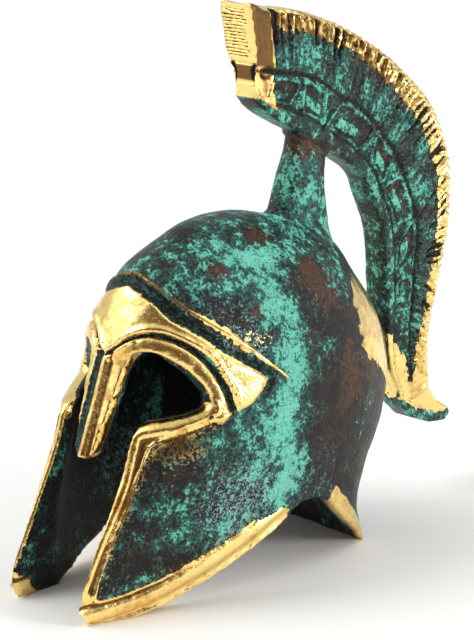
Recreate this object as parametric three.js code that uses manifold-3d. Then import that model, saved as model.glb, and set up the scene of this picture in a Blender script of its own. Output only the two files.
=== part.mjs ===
// Corinthian helmet, a small cast bronze: a hollow helmet shell and a crest on a stilt.
// Millimetres, Z up. The face looks along -Y and the crest's tail hangs at +Y.
import * as THREE from 'three';
import { mergeVertices } from 'three/addons/utils/BufferGeometryUtils.js';
import Module from 'manifold-3d';

const wasm = await Module();
wasm.setup();

// Sizes of the helmet shell
const bowlHeight = 65.9;
const bowlHalfWidth = 21.6;
const bowlReach = 40;
const wall = 3;
const slotHalfWidth = 8.7;
const reliefHeight = 0.6;
const barRadius = 0.9;
const noseBarRadius = 1;

// Sizes of the crest
const crestTop = 104.3;
const crestReach = 60;
const plumeHalfThickness = 3.6;
const holderHalfThickness = 2.6;
const railHalfThickness = 2.9;
const stiltHalfThickness = 4.9;
const panelHalfThickness = 3.1;
const toothCount = 60;
const toothDepth = 0.8;
const fluteDepth = 0.45;
const panelCount = 9;
const hatchCount = 13;
const hatchDepth = 0.35;
const hatchWidth = 0.4;

// Sizes of the joint
const jointGap = 0.3;
const pegRadius = 1.6;
const pegDepth = 1.6;
const pegRoot = 3;
const pegAlong = 0.25 * bowlReach;

// Sections of the bowl from the resting plane to the crown. Heights are shares of bowlHeight,
// front, back and widest point are shares of bowlReach, half widths are shares of bowlHalfWidth.
const bowlSections = [
  // height, front, back, half width, widest point, front roundness, back roundness
  [0.000, -1.775, 0.395, 0.880, -0.125, 1.40, 4.00],
  [0.121, -1.515, 0.385, 0.898, -0.163, 1.80, 3.10],
  [0.243, -1.330, 0.490, 0.917, -0.180, 2.10, 2.70],
  [0.379, -1.165, 0.637, 0.977, -0.165, 2.35, 2.35],
  [0.516, -1.070, 0.688, 1.000, -0.125, 2.35, 2.15],
  [0.653, -0.988, 0.642, 0.931, -0.090, 2.20, 2.00],
  [0.774, -0.907, 0.535, 0.796, -0.087, 2.15, 1.80],
  [0.873, -0.800, 0.408, 0.630, -0.105, 2.10, 1.80],
  [0.945, -0.630, 0.185, 0.398, -0.138, 2.00, 1.90],
  [0.986, -0.487, -0.060, 0.208, -0.180, 2.00, 2.00],
  [1.000, -0.263, -0.212, 0.028, -0.237, 2.00, 2.00],
];

// How far the inner face stands in from each section, as shares of the wall
const wallShares = [
  // side, top, front, back
  [1.00, 0.00, 3.20, 1.00],
  [1.00, 0.00, 2.20, 1.00],
  [1.00, 0.00, 1.50, 1.00],
  [1.00, 0.00, 1.10, 1.00],
  [1.00, 0.00, 1.00, 1.00],
  [0.98, 0.06, 1.00, 1.00],
  [0.86, 0.40, 0.95, 0.80],
  [0.68, 0.70, 0.75, 0.55],
  [0.42, 0.90, 0.40, 0.35],
  [0.20, 1.00, 0.20, 0.20],
  [0.00, 1.00, 0.00, 0.00],
];

// Side outline of the space under the cheek guards, the notch and the neck guard
const bottomOutline = [
  // share of bowlReach, share of bowlHeight
  [-1.113, -0.015], [-1.038, 0.006], [-0.970, 0.015], [-0.847, 0.044], [-0.705, 0.076], [-0.550, 0.117],
  [-0.390, 0.161], [-0.260, 0.200], [-0.188, 0.215], [-0.125, 0.215], [-0.065, 0.202], [-0.010, 0.170],
  [0.098, 0.112], [0.258, 0.035], [0.340, -0.015],
];

// Side outline of an eye opening, open towards the face
const eyeOutline = [
  // share of bowlReach, share of bowlHeight
  [-1.650, 0.698], [-0.887, 0.698], [-0.870, 0.692], [-0.828, 0.674], [-0.782, 0.642], [-0.747, 0.608],
  [-0.733, 0.583], [-0.733, 0.563], [-0.755, 0.551], [-0.825, 0.540], [-0.895, 0.530], [-0.955, 0.525],
  [-1.000, 0.516], [-1.030, 0.495], [-1.050, 0.470], [-1.650, 0.470],
];

// Half outline of the nose guard seen from the front, from its root to its tip
const nasalOutline = [
  // share of slotHalfWidth, share of bowlHeight
  [0.644, 0.695], [0.540, 0.666], [0.494, 0.637], [0.460, 0.595], [0.437, 0.552], [0.391, 0.502],
  [0.345, 0.458], [0.310, 0.426], [0.172, 0.410], [0.000, 0.404],
];

// Side outline of the raised forehead plate
const plateOutline = [
  // share of bowlReach, share of bowlHeight
  [-1.100, 0.862], [-0.815, 0.862], [-0.815, 0.833], [-0.795, 0.795], [-0.750, 0.766], [-0.698, 0.734],
  [-0.640, 0.697], [-0.573, 0.666], [-0.500, 0.636], [-0.453, 0.613], [-0.490, 0.581], [-0.547, 0.554],
  [-0.615, 0.540], [-0.633, 0.590], [-0.655, 0.633], [-0.680, 0.677], [-0.715, 0.701], [-0.760, 0.722],
  [-0.802, 0.741], [-0.843, 0.751], [-0.880, 0.750], [-0.915, 0.734], [-0.948, 0.710], [-0.970, 0.692],
  [-1.100, 0.692],
];

// Raised bars on the bowl: thickness as a share of barRadius, then points as the turn from the face
// in degrees and the height as a share of bowlHeight
const bars = [
  // brow band
  { thick: 1.67, path: [[4, 0.689], [13, 0.707], [21, 0.718], [29, 0.710], [37, 0.690],
    [44, 0.657], [50, 0.616], [53.5, 0.580], [55, 0.552]] },
  // plate rim
  { thick: 1.00, path: [[1, 0.707], [6, 0.733], [12, 0.754], [20, 0.765], [27, 0.763], [34, 0.751],
    [41, 0.730], [47, 0.706], [52, 0.674], [56, 0.630], [59.5, 0.587], [62, 0.545]] },
  // hood ridge
  { thick: 1.00, path: [[0, 0.883], [10, 0.877], [22.4, 0.854], [37, 0.815], [45.5, 0.786],
    [52.7, 0.751], [59.4, 0.713], [65.5, 0.680], [71.9, 0.640], [76.3, 0.605]] },
  // nose guard edge
  { thick: 1.00, path: [[7.2, 0.425], [7.6, 0.470], [8.2, 0.516], [9, 0.561], [10, 0.607],
    [11.5, 0.653], [15, 0.692]] },
  // eye rim
  { thick: 0.89, path: [[52, 0.549], [43.9, 0.534], [37.2, 0.520], [30.2, 0.516], [23.6, 0.508]] },
  // cheek rim
  { thick: 0.89, path: [[21, 0.510], [21.4, 0.455], [23.5, 0.357], [26, 0.264], [28, 0.188],
    [30.5, 0.115], [34, 0.036]] },
  // bottom rim
  { thick: 0.89, path: [[37, 0.015], [44, 0.015], [50.6, 0.030], [57.5, 0.061], [64.5, 0.102],
    [72.5, 0.147], [80.5, 0.188], [85.3, 0.217]] },
  // cheek ridge
  { thick: 0.67, path: [[56.5, 0.536], [43.4, 0.505], [32, 0.476], [29, 0.434], [28.5, 0.369],
    [29.8, 0.293], [34.2, 0.111], [36.9, 0.067], [41.3, 0.068], [46.4, 0.085], [52.5, 0.100],
    [59.4, 0.126]] },
  // neck rim
  { thick: 0.89, path: [[93, 0.212], [97, 0.176], [104, 0.112], [118, 0.039]] },
];

// Side curves of the crest, as shares of crestReach and crestTop from the front end to the tail
const rimLine = [
  [-0.112, 0.998], [-0.043, 0.991], [0.083, 0.982], [0.200, 0.965], [0.358, 0.931], [0.522, 0.882],
  [0.650, 0.831], [0.765, 0.774], [0.827, 0.720], [0.863, 0.672], [0.878, 0.608], [0.875, 0.522],
  [0.842, 0.448], [0.805, 0.374], [0.783, 0.330], [0.775, 0.268], [0.783, 0.206],
];
const grooveLine = [
  [-0.073, 0.877], [0.053, 0.864], [0.147, 0.854], [0.227, 0.837], [0.308, 0.808], [0.392, 0.786],
  [0.443, 0.763], [0.485, 0.741], [0.547, 0.703], [0.592, 0.673], [0.618, 0.643], [0.655, 0.607],
  [0.685, 0.564], [0.703, 0.530], [0.702, 0.494], [0.695, 0.471], [0.682, 0.384], [0.672, 0.307],
  [0.673, 0.240], [0.688, 0.187],
];
const innerLine = [
  [-0.062, 0.826], [-0.020, 0.802], [0.063, 0.775], [0.167, 0.746], [0.332, 0.689], [0.435, 0.650],
  [0.473, 0.606], [0.512, 0.562], [0.527, 0.539], [0.543, 0.489], [0.547, 0.447], [0.557, 0.391],
  [0.562, 0.326], [0.582, 0.259], [0.637, 0.197],
];
const tailOutline = [
  [0.733, 0.259], [0.780, 0.249], [0.783, 0.201], [0.827, 0.167], [0.893, 0.144], [0.903, 0.130],
  [0.877, 0.117], [0.798, 0.123], [0.707, 0.144], [0.650, 0.174], [0.627, 0.201], [0.650, 0.249],
];

// Sections of the stilt, from inside the crown up to the holder
const stiltSections = [
  // share of the way up, front and back as shares of crestReach, share of stiltHalfThickness
  [0.000, 0.027, 0.307, 1.00],
  [0.233, 0.038, 0.290, 0.94],
  [0.433, 0.055, 0.278, 0.84],
  [0.567, 0.077, 0.267, 0.76],
  [0.700, 0.095, 0.270, 0.67],
  [0.833, 0.123, 0.290, 0.59],
  [1.000, 0.127, 0.342, 0.53],
];
const stiltFoot = 0.759 * bowlHeight;
const stiltHead = 0.767 * crestTop;

// Solids from closed meshes
function solidFrom(geometry) {
  geometry.deleteAttribute('normal');
  geometry.deleteAttribute('uv');
  const merged = mergeVertices(geometry, 1e-4);
  const vertProperties = merged.getAttribute('position').array;
  const triVerts = new Uint32Array(merged.index.array);
  return new wasm.Manifold(new wasm.Mesh({ numProp: 3, vertProperties, triVerts }));
}

// A closed body through a list of rings with the same number of points
function ringSolid(rings) {
  const count = rings[0].length;
  const last = rings.length - 1;
  const positions = rings.flat().flatMap((point) => point.toArray());
  const index = [];
  for (let ring = 0; ring < last; ring++) {
    for (let step = 0; step < count; step++) {
      const next = (step + 1) % count;
      const a = ring * count + step;
      const b = ring * count + next;
      index.push(a, b, b + count, a, b + count, a + count);
    }
  }
  const caps = [[0, -1], [last, 1]];
  for (const [ring, side] of caps) {
    const middle = positions.length / 3;
    const centre = new THREE.Vector3();
    rings[ring].forEach((point) => centre.addScaledVector(point, 1 / count));
    positions.push(...centre.toArray());
    for (let step = 0; step < count; step++) {
      const a = ring * count + step;
      const b = ring * count + (step + 1) % count;
      index.push(...(side > 0 ? [a, b, middle] : [b, a, middle]));
    }
  }
  const geometry = new THREE.BufferGeometry();
  geometry.setAttribute('position', new THREE.Float32BufferAttribute(positions, 3));
  geometry.setIndex(index);
  const solid = solidFrom(geometry);
  if (solid.volume() > 0) return solid;
  geometry.setIndex(index.reverse());
  return solidFrom(geometry);
}

// A side outline pushed through along X
function sidePrism(outline, from, to) {
  const shape = new THREE.Shape(outline.map(([along, height]) => new THREE.Vector2(along, height)));
  const geometry = new THREE.ExtrudeGeometry(shape, { depth: to - from, bevelEnabled: false });
  const turn = new THREE.Matrix4().makeBasis(
    new THREE.Vector3(0, 1, 0), new THREE.Vector3(0, 0, 1), new THREE.Vector3(1, 0, 0));
  geometry.applyMatrix4(turn);
  geometry.translate(from, 0, 0);
  return solidFrom(geometry);
}

// A front outline pushed through along Y
function frontPrism(outline, from, to) {
  const shape = new THREE.Shape(outline.map(([across, height]) => new THREE.Vector2(across, height)));
  const geometry = new THREE.ExtrudeGeometry(shape, { depth: to - from, bevelEnabled: false });
  const turn = new THREE.Matrix4().makeBasis(
    new THREE.Vector3(1, 0, 0), new THREE.Vector3(0, 0, 1), new THREE.Vector3(0, -1, 0));
  geometry.applyMatrix4(turn);
  geometry.translate(0, to, 0);
  return solidFrom(geometry);
}

// The bowl's surface
const rowNumbers = bowlSections.map((row, number) => number);
const rowCount = rowNumbers.length - 1;
const sectionCurve = new THREE.CubicInterpolant(rowNumbers, bowlSections.flat(), 7);
const wallCurve = new THREE.CubicInterpolant(rowNumbers, wallShares.flat(), 4);

function bowlPoint(row, turn, inset) {
  const [height, front, back, half, widest, frontRound, backRound] = sectionCurve.evaluate(row);
  const [side, top, frontShare, backShare] = wallCurve.evaluate(row);
  const facing = Math.cos(turn);
  const round = facing > 0 ? frontRound : backRound;
  const share = facing > 0 ? frontShare : backShare;
  const reach = bowlReach * (facing > 0 ? widest - front : back - widest) - inset * share;
  const width = bowlHalfWidth * half - inset * side;
  const across = width * Math.sign(Math.sin(turn)) * Math.abs(Math.sin(turn)) ** (2 / round);
  const along = bowlReach * widest - reach * Math.sign(facing) * Math.abs(facing) ** (2 / round);
  return new THREE.Vector3(across, along, bowlHeight * height - inset * top);
}

function bowlRing(row, sides, inset) {
  const turns = Array.from({ length: sides }, (item, side) => (side / sides) * 2 * Math.PI);
  return turns.map((turn) => bowlPoint(row, turn, inset));
}

function bowlBody(steps, sides, inset, foot) {
  const rows = Array.from({ length: steps + 1 }, (item, step) => (step / steps) * rowCount);
  const rings = rows.map((row) => bowlRing(row, sides, inset));
  const lowest = rings[0].map((point) => point.clone().setZ(foot));
  return ringSolid([lowest, ...rings]);
}

function bowlOutline(shares) {
  return shares.map(([along, height]) => [along * bowlReach, height * bowlHeight]);
}

// The row where a measure that grows towards the crown reaches a value
function rowWhere(measure, value) {
  let low = 0;
  let high = rowCount;
  for (let pass = 0; pass < 40; pass++) {
    const middle = (low + high) / 2;
    if (measure(middle) < value) low = middle;
    else high = middle;
  }
  return low;
}

// A point that stands proud of the bowl by a lift, from its turn in degrees and its height
function proudPoint(degrees, height, lift) {
  const turn = THREE.MathUtils.degToRad(Math.max(degrees, 0.01));
  const row = rowWhere((step) => bowlPoint(step, turn, 0).z, height);
  const here = bowlPoint(row, turn, 0);
  const around = bowlPoint(row, turn + 0.01, 0).sub(here);
  const up = bowlPoint(row + 0.01, turn, 0).sub(here);
  return here.addScaledVector(around.cross(up).normalize(), lift);
}

// A round bar that lies on the bowl
function bar(radius, path) {
  const points = path.map(([degrees, height]) => (
    proudPoint(degrees, height * bowlHeight, reliefHeight - radius)));
  const curve = new THREE.CatmullRomCurve3(points);
  const circle = new THREE.Shape().absarc(0, 0, radius, 0, 2 * Math.PI);
  const steps = Math.round(curve.getLength() / (5 * barRadius));
  const geometry = new THREE.ExtrudeGeometry(circle, { extrudePath: curve, steps, curveSegments: 3 });
  return solidFrom(geometry);
}

// The one body of a solid, without slivers and needless points
function cleaned(solid) {
  const bodies = solid.simplify(0.09).decompose();
  return bodies.sort((one, other) => other.volume() - one.volume())[0];
}

function boxSolid(width, depth, height) {
  return solidFrom(new THREE.BoxGeometry(width, depth, height));
}

function bothSides(solid) {
  return solid.add(solid.mirror([1, 0, 0]));
}

// The crest's bands: a closed profile that runs between two side curves
function sideCurve(points) {
  return new THREE.CatmullRomCurve3(
    points.map(([along, height]) => new THREE.Vector3(0, along * crestReach, height * crestTop)));
}

const rimCurve = sideCurve(rimLine);
const grooveCurve = sideCurve(grooveLine);
const innerCurve = sideCurve(innerLine);

function band(outer, inner, stations, profileAt) {
  const rings = stations.map((station, number) => {
    const from = outer.getPointAt(station);
    const to = inner.getPointAt(station);
    return profileAt(number).map(([share, across]) => from.clone().lerp(to, share).setX(across));
  });
  return ringSolid(rings);
}

function stationsBetween(from, to, count) {
  return Array.from({ length: count + 1 }, (item, step) => from + ((to - from) * step) / count);
}

function roundedProfile(from, to, half) {
  const soft = (to - from) * 0.18;
  return [
    [from, half * 0.7], [from + soft, half], [to - soft, half], [to, half * 0.7],
    [to, -half * 0.7], [to - soft, -half], [from + soft, -half], [from, -half * 0.7],
  ];
}

// Helmet shell
const aside = 2 * bowlHalfWidth;
const ahead = 3 * bowlReach;
const outerBody = bowlBody(22, 52, 0, -wall);
const innerBody = bowlBody(12, 36, wall, -wall);
const footBlock = boxSolid(2 * aside, 2 * ahead, 3 * wall).translate([0, 0, -1.5 * wall]);
const mouthBlock = footBlock.translate([0, 0, 1.5 * wall]);
const hollow = innerBody.add(innerBody.translate([0, 0, -1.33 * wall]).intersect(mouthBlock));

const plateBody = bowlBody(22, 52, -reliefHeight, -wall)
  .intersect(sidePrism(bowlOutline(plateOutline), -aside, aside));
const relief = bars.map(({ thick, path }) => bothSides(bar(thick * barRadius, path)));
const noseBar = ringSolid([0.425, 0.486, 0.546, 0.607, 0.675].map((height) => {
  const middle = proudPoint(0, height * bowlHeight, reliefHeight - 0.8 * noseBarRadius);
  return stationsBetween(0, 2 * Math.PI, 6).slice(1).map((turn) => (
    middle.clone().add(new THREE.Vector3(Math.cos(turn), Math.sin(turn), 0).multiplyScalar(noseBarRadius))));
}));

const noseSide = nasalOutline.map(([half, height]) => [half * slotHalfWidth, height * bowlHeight]);
const eyeTop = 0.698 * bowlHeight;
const slotOutline = [
  [-slotHalfWidth, -wall], [slotHalfWidth, -wall], [slotHalfWidth, eyeTop],
  ...noseSide,
  ...noseSide.slice(0, -1).reverse().map(([half, height]) => [-half, height]),
  [-slotHalfWidth, eyeTop],
];
const slot = frontPrism(slotOutline, -ahead, -0.45 * bowlReach);
const eye = sidePrism(bowlOutline(eyeOutline), 0.9 * slotHalfWidth, aside);
const under = sidePrism(bowlOutline(bottomOutline), -aside, aside);

// Joint between the crown and the crest's foot
const pegRow = rowWhere((row) => -bowlPoint(row, Math.PI, 0).y, -pegAlong);
const pegPlace = bowlPoint(pegRow, Math.PI, 0);
const pegSlope = bowlPoint(pegRow - 0.1, Math.PI, 0).sub(pegPlace);
const pegNormal = new THREE.Vector3(0, -pegSlope.z, pegSlope.y).normalize();

function peg(radius, depth, root) {
  const geometry = new THREE.CylinderGeometry(radius, radius, depth + root, 20);
  geometry.translate(0, (root - depth) / 2, 0);
  const turn = new THREE.Quaternion().setFromUnitVectors(new THREE.Vector3(0, 1, 0), pegNormal);
  geometry.applyQuaternion(turn);
  geometry.translate(...pegPlace.toArray());
  return solidFrom(geometry);
}

const helmet = cleaned(wasm.Manifold.union([outerBody, plateBody, noseBar, ...relief])
  .subtract(hollow)
  .subtract(slot)
  .subtract(bothSides(eye))
  .subtract(under)
  .subtract(footBlock)
  .subtract(peg(pegRadius + jointGap, pegDepth + jointGap, pegRoot)));

// Plume with teeth on its rim and flutes between the locks
const plumeStations = stationsBetween(0, 1, 2 * toothCount);
const plumeWidth = rimCurve.getPointAt(0.5).distanceTo(grooveCurve.getPointAt(0.5));
const plume = band(grooveCurve, rimCurve, plumeStations, (number) => {
  const valley = number % 2 === 1 && number > 5;
  const half = plumeHalfThickness - (valley ? fluteDepth : 0);
  const edge = valley ? 1 - toothDepth / plumeWidth : 1;
  return [
    [-0.06, holderHalfThickness], [0.05, half], [edge - 0.09, half], [edge, half * 0.5],
    [edge, -half * 0.5], [edge - 0.09, -half], [0.05, -half], [-0.06, -holderHalfThickness],
  ];
});

// Holder with its rail and raised panels
const holder = band(grooveCurve, innerCurve, stationsBetween(0, 1, 40), () => (
  roundedProfile(-0.1, 0.97, holderHalfThickness)));
const rail = band(grooveCurve, innerCurve, stationsBetween(0, 1, 40), () => (
  roundedProfile(0.7, 1, railHalfThickness)));

function panel(number) {
  const from = 0.08 + (0.9 * number) / panelCount;
  const to = from + 0.9 / panelCount - 0.016;
  const raised = band(grooveCurve, innerCurve, stationsBetween(from, to, 3), () => (
    roundedProfile(0.12, 0.6, panelHalfThickness)));
  const recess = band(grooveCurve, innerCurve, stationsBetween(from + 0.014, to - 0.014, 2), () => [
    [0.24, 2 * panelHalfThickness], [0.48, 2 * panelHalfThickness],
    [0.48, holderHalfThickness], [0.24, holderHalfThickness],
  ]);
  return raised.subtract(bothSides(recess));
}
const panels = Array.from({ length: panelCount }, (item, number) => panel(number));

// Stilt, cut to the crown with a gap
const stiltCurve = new THREE.CubicInterpolant(stiltSections.map((row) => row[0]), stiltSections.flat(), 4);
const soft = (value) => Math.sign(value) * Math.abs(value) ** 0.8;
const stilt = ringSolid(stationsBetween(0, 1, 12).map((share) => {
  const [level, front, back, half] = stiltCurve.evaluate(share);
  const middle = new THREE.Vector3(0, crestReach * (front + back) / 2, 0);
  middle.z = stiltFoot + (stiltHead - stiltFoot) * level;
  return stationsBetween(0, 2 * Math.PI, 20).slice(1).map((turn) => middle.clone().add(new THREE.Vector3(
    stiltHalfThickness * half * soft(Math.cos(turn)),
    (crestReach * (back - front) / 2) * soft(Math.sin(turn)),
    0)));
})).subtract(bowlBody(22, 52, -jointGap, -wall));

const tailHalfThickness = 0.78 * plumeHalfThickness;
const tail = sidePrism(
  tailOutline.map(([along, height]) => [along * crestReach, height * crestTop]),
  -tailHalfThickness, tailHalfThickness);

const hatches = stationsBetween(0.03, 0.6, hatchCount).map((share) => {
  const place = rimCurve.getPointAt(0).lerp(innerCurve.getPointAt(0), share);
  const groove = boxSolid(4 * plumeHalfThickness, 2 * hatchDepth, hatchWidth);
  return groove.translate([0, place.y, place.z]);
});

const crest = cleaned(wasm.Manifold.union([plume, holder, rail, stilt, tail, ...panels])
  .subtract(wasm.Manifold.union(hatches))
  .add(peg(pegRadius, pegDepth, pegRoot)));

// The part stands with the middle of its outline over the origin
const box = helmet.add(crest).boundingBox();
const centre = -(box.min[1] + box.max[1]) / 2;

function meshFrom(solid, name, material) {
  const made = solid.translate([0, centre, 0]).getMesh();
  const geometry = new THREE.BufferGeometry();
  geometry.setAttribute('position', new THREE.Float32BufferAttribute(made.vertProperties, 3));
  geometry.setIndex(Array.from(made.triVerts));
  const mesh = new THREE.Mesh(geometry.toNonIndexed(), material);
  mesh.geometry.computeVertexNormals();
  mesh.name = name;
  return mesh;
}

const patina = new THREE.MeshStandardMaterial({ color: 0x2f7d70, metalness: 0.6, roughness: 0.6 });
const bronze = new THREE.MeshStandardMaterial({ color: 0xb98c3e, metalness: 0.9, roughness: 0.35 });

const group = new THREE.Group();
group.add(meshFrom(helmet, 'helmet', patina));
group.add(meshFrom(crest, 'crest', bronze));

export default group;
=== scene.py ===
# %% [markdown]
# # Corinthian helmet in cast bronze
# The real object is a desk-size bronze: a hollow helmet shell and a tall crest, cast with soft
# edges, coated with a green patina and then polished back to gold on every raised line.
# The CAD frame gives both castings at full size. Here each one is refined into a smooth skin
# with fine relief, and one family of materials paints patina and polished metal over it.

# %% Load the frame
import bpy
import bmesh
import math
import numpy as np
from mathutils import Matrix, Vector, kdtree, noise


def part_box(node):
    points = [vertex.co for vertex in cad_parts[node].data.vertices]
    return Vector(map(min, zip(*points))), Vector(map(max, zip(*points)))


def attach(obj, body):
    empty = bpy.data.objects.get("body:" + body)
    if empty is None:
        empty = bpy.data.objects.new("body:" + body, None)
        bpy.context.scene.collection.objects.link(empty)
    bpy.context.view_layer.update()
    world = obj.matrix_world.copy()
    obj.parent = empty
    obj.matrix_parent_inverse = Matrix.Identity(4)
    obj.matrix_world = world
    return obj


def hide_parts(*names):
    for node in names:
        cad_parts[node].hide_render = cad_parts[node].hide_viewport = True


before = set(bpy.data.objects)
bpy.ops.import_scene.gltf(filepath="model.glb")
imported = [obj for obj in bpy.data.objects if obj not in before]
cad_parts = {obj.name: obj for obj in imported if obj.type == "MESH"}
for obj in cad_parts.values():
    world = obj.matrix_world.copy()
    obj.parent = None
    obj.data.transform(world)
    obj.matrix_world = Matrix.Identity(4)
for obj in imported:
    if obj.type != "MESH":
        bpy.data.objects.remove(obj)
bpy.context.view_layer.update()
MM = 0.001
helmet_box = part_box("helmet")
crest_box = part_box("crest")
print("helmet box", helmet_box, "crest box", crest_box)

# %% [markdown]
# ## Camera
# The photo looks at the helmet from the front and its left, a little from above, with a long
# lens. The angles below came from matching the outline of both cheek guards and the crest.

# %% Camera
VIEW_TURN = math.radians(44.81)
VIEW_RISE = math.radians(15.40)
VIEW_DISTANCE = 419.06 * MM
FOCAL_PIXELS = 2242
IMAGE_HEIGHT = 640
TARGET_HEIGHT = 44.75 * MM
TARGET_ALONG = -5.72 * MM

back = Vector((math.sin(VIEW_TURN) * math.cos(VIEW_RISE),
               -math.cos(VIEW_TURN) * math.cos(VIEW_RISE),
               math.sin(VIEW_RISE)))
target = Vector((0, TARGET_ALONG, TARGET_HEIGHT))
lens = bpy.data.cameras.new("photo_lens")
lens.sensor_fit = "VERTICAL"
lens.sensor_height = 36
lens.lens = FOCAL_PIXELS / IMAGE_HEIGHT * lens.sensor_height
lens.clip_start = 0.01
camera = bpy.data.objects.new("photo_camera", lens)
camera.matrix_world = back.to_track_quat("Z", "Y").to_matrix().to_4x4()
camera.location = target + back * VIEW_DISTANCE
bpy.context.scene.collection.objects.link(camera)
bpy.context.scene.camera = camera
print("lens", round(lens.lens, 1), "mm at", [round(v, 3) for v in camera.location])

# %% [markdown]
# ## The bowl's surface
# Every raised line of the helmet follows the bowl, so the bowl is written once as a table of
# cross-sections. Each section is an oval with its own front, back and width, and a smooth curve
# runs through the rows. Any spot on the bowl then has a height and a turn from the face.

# %% Bowl sections
BOWL_HEIGHT = 65.9
BOWL_HALF_WIDTH = 21.6
BOWL_REACH = 40.0
TAIL_TIP = 54.2
SHIFT = crest_box[1][1] / MM - TAIL_TIP

bowl_rows = np.array([
    # height, front, back, half width, widest point, front roundness, back roundness
    [0.000, -1.775, 0.395, 0.880, -0.125, 1.40, 4.00],
    [0.121, -1.515, 0.385, 0.898, -0.163, 1.80, 3.10],
    [0.243, -1.330, 0.490, 0.917, -0.180, 2.10, 2.70],
    [0.379, -1.165, 0.637, 0.977, -0.165, 2.35, 2.35],
    [0.516, -1.070, 0.688, 1.000, -0.125, 2.35, 2.15],
    [0.653, -0.988, 0.642, 0.931, -0.090, 2.20, 2.00],
    [0.774, -0.907, 0.535, 0.796, -0.087, 2.15, 1.80],
    [0.873, -0.800, 0.408, 0.630, -0.105, 2.10, 1.80],
    [0.945, -0.630, 0.185, 0.398, -0.138, 2.00, 1.90],
    [0.986, -0.487, -0.060, 0.208, -0.180, 2.00, 2.00],
    [1.000, -0.263, -0.212, 0.028, -0.237, 2.00, 2.00],
])


def between_rows(rows, steps):
    steps = np.clip(steps, 0, len(rows) - 1)
    low = np.minimum(steps.astype(int), len(rows) - 2)
    part = (steps - low)[..., None]
    here, there = rows[low], rows[low + 1]
    before = np.where((low > 0)[..., None], rows[np.maximum(low - 1, 0)], 2 * here - there)
    after = np.where((low + 2 < len(rows))[..., None],
                     rows[np.minimum(low + 2, len(rows) - 1)], 2 * there - here)
    leave, arrive = (there - before) / 2, (after - here) / 2
    cube, square = part ** 3, part ** 2
    return ((2 * cube - 3 * square + 1) * here + (cube - 2 * square + part) * leave
            + (3 * square - 2 * cube) * there + (cube - square) * arrive)


def bowl_points(steps, turns):
    """Places on the bowl in millimetres, in the part's frame."""
    height, front, rear, half, widest, front_round, rear_round = np.moveaxis(
        between_rows(bowl_rows, steps), -1, 0)
    facing, aside = np.cos(turns), np.sin(turns)
    roundness = np.where(facing > 0, front_round, rear_round)
    reach = np.where(facing > 0, widest - front, rear - widest)
    across = BOWL_HALF_WIDTH * half * np.sign(aside) * np.abs(aside) ** (2 / roundness)
    along = BOWL_REACH * (widest - reach * np.sign(facing) * np.abs(facing) ** (2 / roundness))
    return np.stack([across, along + SHIFT, BOWL_HEIGHT * height], axis=-1)


ROW_STEPS, TURN_STEPS = 420, 440
step_grid, turn_grid = np.meshgrid(np.linspace(0, 10, ROW_STEPS),
                                   np.linspace(-math.pi, math.pi, TURN_STEPS), indexing="ij")
bowl_grid = bowl_points(step_grid, turn_grid)
grid_up, grid_round = np.gradient(bowl_grid, axis=(0, 1))
bowl_normals = np.cross(grid_round, grid_up)
bowl_normals /= np.maximum(np.linalg.norm(bowl_normals, axis=-1, keepdims=True), 1e-9)
print("bowl grid", bowl_grid.shape, "outward share",
      round(float((np.sum(bowl_normals[:, :, :2] * bowl_grid[:, :, :2], axis=-1) > 0).mean()), 2))

# %% Nearest places on the bowl
bowl_tree = kdtree.KDTree(bowl_grid.size // 3)
for number, place in enumerate(bowl_grid.reshape(-1, 3)):
    bowl_tree.insert(place, number)
bowl_tree.balance()


def bowl_frame(points):
    """Each point's signed distance from the bowl, the bowl's normal there, and its turn in degrees."""
    nearest = np.array([bowl_tree.find(point)[1] for point in points])
    normals = bowl_normals.reshape(-1, 3)[nearest]
    away = np.sum((points - bowl_grid.reshape(-1, 3)[nearest]) * normals, axis=-1)
    return away, normals, np.degrees(np.abs(turn_grid.ravel()[nearest]))


# %% [markdown]
# ## Raised lines of the face
# The lines of the face were carved in the wax: a hood ridge, a forehead plate with its own rim,
# a brow band over each eye, the nose guard's edges and a polished rim round each cheek guard.
# Each one is a short list of points, given as a turn from the face in degrees and a height in
# millimetres. The helmet is symmetric, so the lines of the +X side serve both.

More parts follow.
